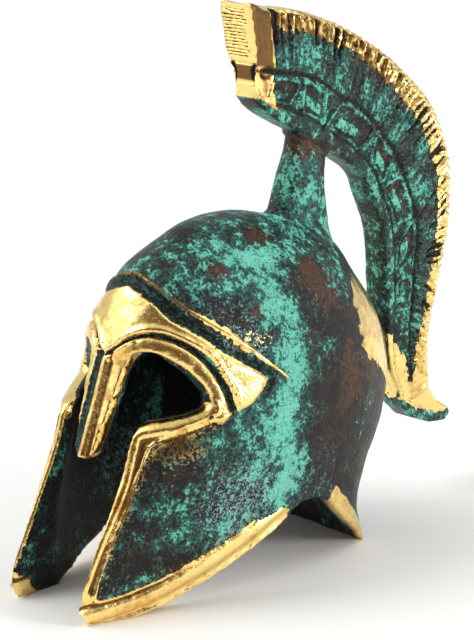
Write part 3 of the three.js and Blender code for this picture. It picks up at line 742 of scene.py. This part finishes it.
holder_half = np.where(
    holder_reach > 0.69, rail_half,
    2.60 + 0.42 * ramp(panel_inside, -0.10, 0.15) - 0.42 * ramp(panel_inside, 0.60, 0.95)
    + 0.32 * ramp(panel_bar, -0.15, 0.2) - 0.35 * ramp(rail_gap, -0.3, 0.3)
    + 0.18 * soft_noise(crest_places, 0.5, 25))
print("panel points", int((panel_inside > 0).sum()), "bar points", int((panel_bar > 0).sum()))

# %% End face with its hatching
HATCH_PITCH = 0.62
drop = crest_places[:, 2]
hatch_jitter = 0.22 * soft_noise(crest_places * [0.35, 0, 1.2], 1.0, 17)
hatch_wave = np.cos(2 * math.pi * (drop / HATCH_PITCH + hatch_jitter))
hatch_edge = 1.9 + 1.1 * soft_noise(crest_places * [0, 0, 1], 2.3, 27) - 0.5 * ramp(102 - drop, 0, 8)
hatch_room = (ramp(drop, 93.4, 94.2) * (1 - ramp(drop, 102.9, 103.4))
              * (1 - ramp(crest_places[:, 0], hatch_edge, hatch_edge + 0.4)))
hatch = np.where(end_face > 0.5, 0.12 - 0.5 * (1 - hatch_wave) * 0.32, -3) - 2 * (1 - hatch_room)
hollow = 1 - np.hypot((np.abs(crest_places[:, 0]) - 2.75) / 1.25, (drop - 91.2) / 2.2)
behind_face = crest_places[:, 1] - FRONT_OF_CREST - 0.235 * (104 - drop)
side_hollow = 1 - np.hypot((behind_face - 2.6) / 2.4, (drop - 91.0) / 1.7)
rings = bump_of(drop - 89.4, 0.35) + bump_of(drop - 92.9, 0.3)
end_push = 0.22 * ramp(hatch, -0.12, 0.10) + 0.75 * ramp(hollow, 0.0, 0.7) + 0.25 * rings

# %% Lay the relief on the crest
crest_moved = crest_places.copy()
flat_side = flank * (1 - ramp(np.abs(crest_places[:, 0]), 3.2, 3.5))
crest_moved[:, 0] += side * flank * np.where(on_plume, carve, 0.0)
to_holder = side * holder_half - crest_places[:, 0]
crest_moved[:, 0] += np.where(on_holder & (holder_step > 12), flat_side * to_holder, 0.0)
crest_moved[:, 0] -= side * flank * 0.7 * ramp(side_hollow, 0, 0.7)
crest_moved[:, 1] += end_face * end_push
near_end = (1 - ramp(crest_places[:, 1], FRONT_OF_CREST + 1.5, FRONT_OF_CREST + 5)) * ramp(drop, 93, 96)
crest_moved[:, 0] += 0.16 * crest_places[:, 0] * near_end
crest_moved[:, 2] += 0.85 * near_end * ramp(np.abs(crest_places[:, 0]), 1.2, 3.0) * ramp(drop, 101.4, 103.0)
unevenness = 0.10 * soft_noise(crest_places, 0.5, 7) + 0.06 * soft_noise(crest_places, 1.3, 8)
crest_moved[:, 0] += side * flank * unevenness
put_places(crest_skin, crest_moved)
soften(crest_skin, 4, on_plume & (inward_mm < 1.2))
print("moved at most", round(float(np.abs(crest_moved - crest_places).max()), 2), "mm")

# %% Polish of the crest
crest_ragged = soft_noise(crest_places, 0.7, 9) + 0.5 * soft_noise(crest_places, 1.9, 10)
rim_gold = np.interp(rim_share, [0, 0.06, 0.12, 0.2, 0.3, 0.42, 0.55, 0.66, 0.76, 0.86, 0.95, 1],
                     [6, 4.6, 4.6, 4.4, 4.9, 6.0, 6.4, 6.2, 5.9, 5.4, 5.0, 5])
tail_outline = [
    [33.6, 34.4], [34.0, 24.3], [38.2, 20.1], [42.2, 17.5], [46.2, 15.8], [50.2, 14.7], [57.0, 14.0],
    [57.0, 20.0], [50.0, 24.5], [46.5, 26.5], [45.0, 31.0], [42.2, 31.5], [41.8, 27.6], [41.5, 23.0],
    [40.6, 23.2], [39.9, 28.0], [36.9, 31.6], [35.4, 34.3],
]
tail_corners = np.array(tail_outline + tail_outline[:1])
tail_edge = np.concatenate([np.linspace(here, there, 24)
                            for here, there in zip(tail_corners, tail_corners[1:])])
tail_line = np.column_stack([np.zeros(len(tail_edge)), tail_edge[:, 0] + SHIFT, tail_edge[:, 1]])
flat_places = crest_places * [0, 1, 1]
to_tail = distance_to(flat_places, tail_line)
tail_gold = to_tail * np.where(inside_outline(crest_places, tail_outline), 1, -1)
side_panel = np.where(on_plume, np.minimum(PANEL_END - 0.2 - strand_mm, outward_mm - 0.9), NOWHERE)
front_end = np.where(drop > 82, 3.6 + 0.35 * np.clip(drop - 88, 0, 3) - behind_face, NOWHERE)
front_end = np.minimum(front_end, 0.8 * ((drop - 86.2) + 0.75 * behind_face))
front_end = np.where(end_face > 0.4, np.maximum(front_end, np.minimum(2.0, drop - 86.5)),
                     np.minimum(front_end, 2))
crest_polish = np.maximum.reduce([
    side_panel, front_end, tail_gold + 0.9 * crest_ragged,
    np.where(on_plume, rim_gold - inward_mm + 1.0 * crest_ragged + 0.8 * (1 - wave) - 0.8, NOWHERE),
])
hollow_dirt = np.where(end_face > 0.4, 1.6 * hollow - 0.2, NOWHERE)
seam_half = 0.75 - 0.35 * ramp(strand_mm, 10, 30)
crest_groove = np.maximum.reduce([
    np.where(on_plume & (rim_share < 0.9) & (strand_mm > 3.5), seam_half - np.abs(outward_mm - 0.25),
             NOWHERE),
    np.where(on_plume, first_gap, NOWHERE), slot,
    np.where(on_holder & (behind_face > 4), rail_gap - 0.15, NOWHERE), hatch, hollow_dirt,
])
crest_polish = np.minimum(crest_polish, -crest_groove + 0.10)
# Painted dark reflection on the crest's polished metal: brown on the plume's locks, the side panel, the end
# face's waist, the lip and the side hollow, kept off the bright edges.
bright_edge = np.maximum(ramp(1.1 + 1.2 * far_side - inward_mm, 0, 0.5),
                         ramp(0.24 - np.abs(slot + 0.30), 0, 0.2))
rim_dark_reflection = (1 - 0.75 * ramp(rim_share, 0.35, 0.6)) * 0.85 * (1 - bright_edge)
plume_dark_reflection = np.where(on_plume & (strand_mm > PANEL_END), rim_dark_reflection, 0)
panel_dark_reflection = 0.85 * ramp(side_panel, 0.15, 0.5) * (end_face < 0.3)
waist_dark_reflection = 0.85 * ramp(drop, 89.4, 90.0) * (1 - ramp(drop, 92.6, 93.4)) * (end_face > 0.4) * (1 - rings)
lip_dark_reflection = 0.6 * bump_of(behind_face - 2.0, 0.9) * (drop < 90.5) * (drop > 86.5) * (end_face < 0.3)
crest_dark_reflection = np.maximum.reduce([
    panel_dark_reflection * (1 - ramp(1.0 - inward_mm, 0, 0.5)), 0.9 * ramp(side_hollow, 0, 0.3),
    waist_dark_reflection, plume_dark_reflection, lip_dark_reflection])
keep_attribute(crest_skin, "polish", np.clip(crest_polish, -3, 3))
keep_attribute(crest_skin, "groove", np.clip(crest_groove, -3, 3))
keep_attribute(crest_skin, "dark_reflection", np.clip(crest_dark_reflection, 0, 1))
print("polished share", round(float((crest_polish > 0).mean()), 3))

# %% Patina zones of the crest
on_stilt = ~on_plume & ~on_holder & (drop < 86)
raised = np.where(on_holder, np.maximum(ramp(panel_frame, -0.1, 0.2), ramp(panel_bar, -0.1, 0.2)), 0)
under_lip = ((drop > 84.5) * (crest_places[:, 1] < FRONT_OF_CREST + 5.5)
             * ramp(-crest_facing[:, 2], 0.2, 0.6))
crest_crust = (
    0.34 + 0.20 * raised - 0.12 * np.where(on_holder, ramp(panel_inside, 0.6, 1.0) * (1 - raised), 0)
    + 0.04 * np.where(on_holder, ramp(holder_reach, 0.68, 0.75), 0)
    + 0.18 * blob(flat_places, [0, 14.0, 86.0], [3, 3.5, 3.5]) * on_plume
    + 0.10 * on_stilt * ramp(crest_places[:, 1], 2, 9)
    - 0.06 * on_plume * ramp(reach, 0.4, 0.8)
    - 0.35 * under_lip
    + 0.24 * soft_noise(crest_places, 0.17, 18)
)
crest_rust = np.clip(
    0.9 * blob(flat_places, [0, 8.5, 76.0], [3, 5.0, 3.2])
    + 0.9 * blob(flat_places, [0, 17, 70.5], [3, 3.5, 4])
    + 0.40 * np.where(on_holder, ramp(panel_inside, 0.8, 1.1) * (1 - raised), 0)
    + 0.50 * np.where(on_holder, ramp(rail_gap, -0.2, 0.2), 0)
    + 0.12 * on_stilt + 0.40 * soft_noise(crest_places, 0.2, 20), 0, 1)
crest_grainy = np.where(on_plume, ramp(rim_gold + 1.5 - inward_mm, -1.0, 1.5) * 0.55, 0)
keep_attribute(crest_skin, "crust", np.clip(crest_crust, 0, 1))
keep_attribute(crest_skin, "rust", crest_rust)
keep_attribute(crest_skin, "grainy", np.clip(crest_grainy, 0, 1))
# Painted sparkle highlights on the stilt and the plume.
keep_attribute(crest_skin, "sparkle_zone", 0.14 * on_stilt + 0.2 * on_plume)
keep_attribute(crest_skin, "interior_shade", np.zeros(len(drop)))
keep_attribute(crest_skin, "strand", np.where(on_plume, lock_mm + 200 * (side < 0), 0))
keep_attribute(crest_skin, "outward", np.where(on_plume, outward_mm, 0))
crest = piece_from(crest_skin, "crest_casting", "crest")
print("mean crust", round(float(crest_crust.mean()), 2), "triangles", triangles_in(crest_skin))

# %% [markdown]
# ## Bronze, patina and polish
# The real finish has several layers: a near-black chemical ground, a thin teal film on it, a
# flaky turquoise crust on top, rusty brown where the acid bit deepest, and bare golden metal
# where a wheel polished the raised lines. Some light is painted in as well: pale specks stand in
# for sparkles on the glossy coat, brown-tinted metal stands in for dark reflections in channels
# and hollows, and near-black stands in for the shade inside the shell. Each layer is a mask from
# noise at flake size, and the attributes of the piece say how much of it a zone gets. The helper
# class lets the shader be written as plain sums.


# %% A small language for shader sockets
class Paint:
    """Wraps one output socket, so that shader sums read like Python."""

    def __init__(self, tree, socket):
        self.tree = tree
        self.socket = socket

    def node(self, kind, settings=None, **inputs):
        made = self.tree.nodes.new(kind)
        for name, value in (settings or {}).items():
            setattr(made, name, value)
        for name, value in inputs.items():
            place = int(name[1:]) if name[0] == "i" and name[1:].isdigit() else name.replace("_", " ")
            if isinstance(value, Paint):
                self.tree.links.new(value.socket, made.inputs[place])
            else:
                made.inputs[place].default_value = value
        return made

    def maths(self, operation, *values):
        inputs = {f"i{number}": value for number, value in enumerate(values)}
        return Paint(self.tree, self.node("ShaderNodeMath", {"operation": operation}, **inputs).outputs[0])

    def __add__(self, other):
        return self.maths("ADD", self, other)

    def __sub__(self, other):
        return self.maths("SUBTRACT", self, other)

    def __mul__(self, other):
        return self.maths("MULTIPLY", self, other)

    def __rsub__(self, other):
        return self.maths("SUBTRACT", other, self)

    __radd__ = __add__
    __rmul__ = __mul__

    def highest(self, other):
        return self.maths("MAXIMUM", self, other)

    def between(self, low, high):
        """0 below low, 1 above high, smooth in between."""
        made = self.node("ShaderNodeMapRange", {"interpolation_type": "SMOOTHSTEP"},
                         i0=self, i1=low, i2=high, i3=0.0, i4=1.0)
        return Paint(self.tree, made.outputs[0])

    def mix(self, first, second):
        """The first colour where this is 0, the second where it is 1."""
        made = self.node("ShaderNodeMix", {"data_type": "RGBA"}, i0=self, i6=first, i7=second)
        return Paint(self.tree, made.outputs[2])


def grain(where, size, detail=3.0, roughness=0.6, unit=MM):
    """Noise whose patches are about this many millimetres across."""
    made = where.node("ShaderNodeTexNoise", Vector=where, Scale=1.0 / (size * unit), Detail=detail,
                      Roughness=roughness)
    return Paint(where.tree, made.outputs[0])


def attribute(where, name):
    made = where.node("ShaderNodeAttribute", {"attribute_name": name})
    return Paint(where.tree, made.outputs["Fac"])


# %% Colours of the finish
PALE_TURQUOISE = (0.17, 0.63, 0.48, 1)
TURQUOISE = (0.050, 0.29, 0.225, 1)
TEAL_FILM = (0.028, 0.115, 0.096, 1)
GROUND = (0.010, 0.011, 0.012, 1)
DARK_BROWN = (0.034, 0.019, 0.013, 1)
RUST = (0.100, 0.046, 0.024, 1)
# Near-black, used both for dirt in the grooves and for the painted shade inside the shell.
DIRT_AND_SHADE_BLACK = (0.006, 0.007, 0.006, 1)
# Pale blue-grey of the painted sparkle highlights.
SPARKLE_PALE = (0.34, 0.50, 0.52, 1)
BRIGHT_GOLD = (1.0, 0.72, 0.26, 1)
DEEP_GOLD = (0.70, 0.41, 0.11, 1)
# Brown-tinted gold for painted dark reflections on polished metal.
DARK_REFLECTION_METAL = (0.17, 0.085, 0.026, 1)
OLIVE_METAL = (0.27, 0.185, 0.060, 1)


def bronze(name, plumed):
    material = bpy.data.materials.new(name)
    material.use_nodes = True
    tree = material.node_tree
    tree.nodes.clear()
    start = Paint(tree, None)
    place = Paint(tree, start.node("ShaderNodeTexCoord").outputs["Object"])
    polish, groove = attribute(place, "polish"), attribute(place, "groove")
    crust, rust = attribute(place, "crust"), attribute(place, "rust")
    grainy, dark_reflection = attribute(place, "grainy"), attribute(place, "dark_reflection")
    sparkle_zone, interior_shade = attribute(place, "sparkle_zone"), attribute(place, "interior_shade")
    wide = grain(place, 6.0, 4.0, 0.6)
    patch = grain(place, 2.6, 4.0, 0.62)
    flake = grain(place, 1.1, 4.0, 0.68)
    fine = grain(place, 0.55, 3.0, 0.6)
    speck = grain(place, 0.32, 2.0, 0.5)
    if plumed:
        strand = place.node("ShaderNodeCombineXYZ", X=attribute(place, "strand"),
                            Y=attribute(place, "outward") * 0.22)
        streak = grain(Paint(tree, strand.outputs[0]), 1.2, 4.0, 0.65, unit=1.0)
        on_plume = attribute(place, "outward").between(0.05, 0.4)
        patch = patch + (streak - patch) * on_plume * 0.8
    cover = crust + (wide - 0.5) * 0.9 + (patch - 0.5) * 1.5 + (flake - 0.5) * 1.2 + (fine - 0.5) * 0.6
    cover = cover - groove.between(-0.25, 0.25) * 0.30 - rust.between(0.35, 0.85) * 0.22
    crusty = cover.between(0.50, 0.54)
    film = crust + (wide - 0.5) * 0.6 + (patch - 0.5) * 1.0 + (flake - 0.5) * 0.8 + (fine - 0.5) * 0.9
    film = film.between(0.20, 0.46)
    ground = (patch * 0.5 + fine * 0.5).between(0.44, 0.56).mix(GROUND, DARK_BROWN)
    rusty = (rust + (patch - 0.5) * 1.3 + (flake - 0.5) * 1.0 + (fine - 0.5) * 0.6).between(0.48, 0.60)
    coat = film.mix(ground, TEAL_FILM)
    coat = rusty.mix(coat, (fine * 0.6 + flake * 0.4).between(0.42, 0.58).mix(DARK_BROWN, RUST))
    light = ((cover - 0.5) * 1.3 + (speck - 0.5) * 1.5 + (fine - 0.5) * 1.3).between(-0.12, 0.42)
    coat = crusty.mix(coat, light.mix(TURQUOISE, PALE_TURQUOISE))
    dark_specks = (speck * 0.45 + fine * 0.55).between(0.575, 0.62)
    coat = (dark_specks * 0.92).mix(coat, GROUND)
    # Painted highlights: pale specks that stand in for glints of light on the dark coat.
    painted_sparkles = (speck * 0.6 + flake * 0.4 + sparkle_zone * 0.06).between(0.565, 0.61) * sparkle_zone.between(0.05, 0.5)
    coat = (painted_sparkles * 0.85).mix(coat, SPARKLE_PALE)
    in_groove = (groove + (fine - 0.5) * 0.35).between(-0.10, 0.15)
    groove_colour = DARK_BROWN if plumed else TEAL_FILM
    groove_coat = (flake * 0.5 + fine * 0.5).between(0.50, 0.58).mix(DIRT_AND_SHADE_BLACK, groove_colour)
    coat = (in_groove * 0.9).mix(coat, groove_coat)
    # Painted shade: the inside of the shell is darkened towards near-black.
    coat = (interior_shade * 0.75).mix(coat, DIRT_AND_SHADE_BLACK)
    edge = polish + (flake - 0.5) * 0.45 + (fine - 0.5) * 0.35
    pits = (fine * 0.5 + speck * 0.5 - polish.between(0.2, 1.4) * 0.03 + dark_reflection * 0.02).between(0.60, 0.64)
    worn = edge.between(-0.02, 0.06) * (1.0 - pits * 0.85)
    glints = (grainy + (fine - 0.5) * 3.0 + (flake - 0.5) * 1.6).between(0.82, 1.00) * (1.0 - in_groove)
    shade = (wide * 0.5 + patch * 0.5).between(0.36, 0.50)
    # Polished metal turns brown where a dark reflection is painted.
    metal = dark_reflection.between(0.1, 0.9).mix(shade.mix(DEEP_GOLD, BRIGHT_GOLD), DARK_REFLECTION_METAL)
    metal = (glints * (1.0 - worn) * 0.85).mix(metal, OLIVE_METAL)
    worn = worn.highest(glints)
    colour = worn.mix(coat, metal)
    roughness = 0.40 + crusty * 0.28 + (fine - 0.5) * 0.4 - painted_sparkles * 0.1
    metal_gloss = 0.17 + (fine - 0.45) * 0.15 + dark_reflection * 0.14
    roughness = roughness + (metal_gloss - roughness) * worn
    metallic = 0.45 - crusty * 0.43
    metallic = metallic + (1.0 - metallic) * worn
    rough_height = crusty * 0.40 + flake * 0.7 + fine * 0.9 + speck * 0.5
    height = rough_height * (1.0 - worn * 0.96) + worn * (0.1 + patch * 0.7 + fine * 0.06)
    relief_bump = place.node("ShaderNodeBump", Strength=1.0, Distance=0.22 * MM, Height=height)
    shader = place.node("ShaderNodeBsdfPrincipled", Base_Color=colour, Roughness=roughness,
                        Metallic=metallic, Specular_IOR_Level=0.35,
                        Normal=Paint(tree, relief_bump.outputs[0]))
    place.node("ShaderNodeOutputMaterial", Surface=Paint(tree, shader.outputs[0]))
    return material


shell_bronze = bronze("shell_bronze", plumed=False)
crest_bronze = bronze("crest_bronze", plumed=True)
for piece, material in ((helmet, shell_bronze), (crest, crest_bronze)):
    piece.data.materials.clear()
    piece.data.materials.append(material)
print("materials", len(shell_bronze.node_tree.nodes), "and", len(crest_bronze.node_tree.nodes), "nodes")

# %% [markdown]
# ## Table and light
# The photo is lit from above and the left in front of a white sweep, with a soft shadow under
# the helmet. Bronze shows what it reflects: the room is white above and behind the helmet and
# darker on the side of the viewer, which gives the polished rims their bright and dark stripes.

# %% Floor
floor_shape = bmesh.new()
bmesh.ops.create_grid(floor_shape, x_segments=2, y_segments=2, size=8.0)
floor_mesh = bpy.data.meshes.new("table")
floor_shape.to_mesh(floor_mesh)
floor_shape.free()
floor = bpy.data.objects.new("table", floor_mesh)
bpy.context.scene.collection.objects.link(floor)
floor_paint = bpy.data.materials.new("white_table")
floor_paint.use_nodes = True
floor_shader = floor_paint.node_tree.nodes["Principled BSDF"]
floor_shader.inputs["Base Color"].default_value = (0.96, 0.96, 0.955, 1)
floor_shader.inputs["Roughness"].default_value = 0.6
floor_mesh.materials.append(floor_paint)
print("floor 16 m square")

# %% Lamps and sky
DARK_SIDE = Vector((0.66, -0.70, 0.28))
WINDOW_SIDE = Vector((-0.56, -0.50, 0.66))
world = bpy.data.worlds.new("white_room")
world.use_nodes = True
sky = Paint(world.node_tree, None)
direction = Paint(world.node_tree, sky.node("ShaderNodeTexCoord").outputs["Generated"])


def towards(side, low, high):
    lean = direction.node("ShaderNodeVectorMath", {"operation": "DOT_PRODUCT"}, i0=direction, i1=side)
    return Paint(world.node_tree, lean.outputs["Value"]).between(low, high)


room = towards(DARK_SIDE, 0.58, 0.92).mix((0.70, 0.715, 0.73, 1), (0.15, 0.105, 0.07, 1))
room = towards(WINDOW_SIDE, 0.80, 0.92).mix(room, (1.7, 1.68, 1.62, 1))
background = world.node_tree.nodes["Background"]
world.node_tree.links.new(room.socket, background.inputs["Color"])
background.inputs["Strength"].default_value = 1.0
bpy.context.scene.world = world
bpy.context.scene.view_settings.view_transform = "Standard"


def add_light(kind, name, place, watts, colour):
    light = bpy.data.lights.new(name, kind)
    light.energy = watts
    light.color = colour
    lamp = bpy.data.objects.new(name, light)
    aim = Vector(place) - Vector((0, 0, 0.05))
    lamp.matrix_world = Matrix.Translation(place) @ aim.to_track_quat("Z", "Y").to_matrix().to_4x4()
    bpy.context.scene.collection.objects.link(lamp)
    return light


add_light("SUN", "window_sun", (-0.45, -0.50, 0.80), 0.9, (1.0, 0.98, 0.94)).angle = math.radians(30)
add_light("SUN", "back_sun", (0.30, 0.50, 0.85), 0.35, (1.0, 1.0, 1.0)).angle = math.radians(40)
right_lamp = add_light("AREA", "right_lamp", (0.75, 0.30, 0.30), 3.0, (1.0, 0.95, 0.92))
right_lamp.shape = "DISK"
right_lamp.size = 0.22
print("lights", len(bpy.data.lights))
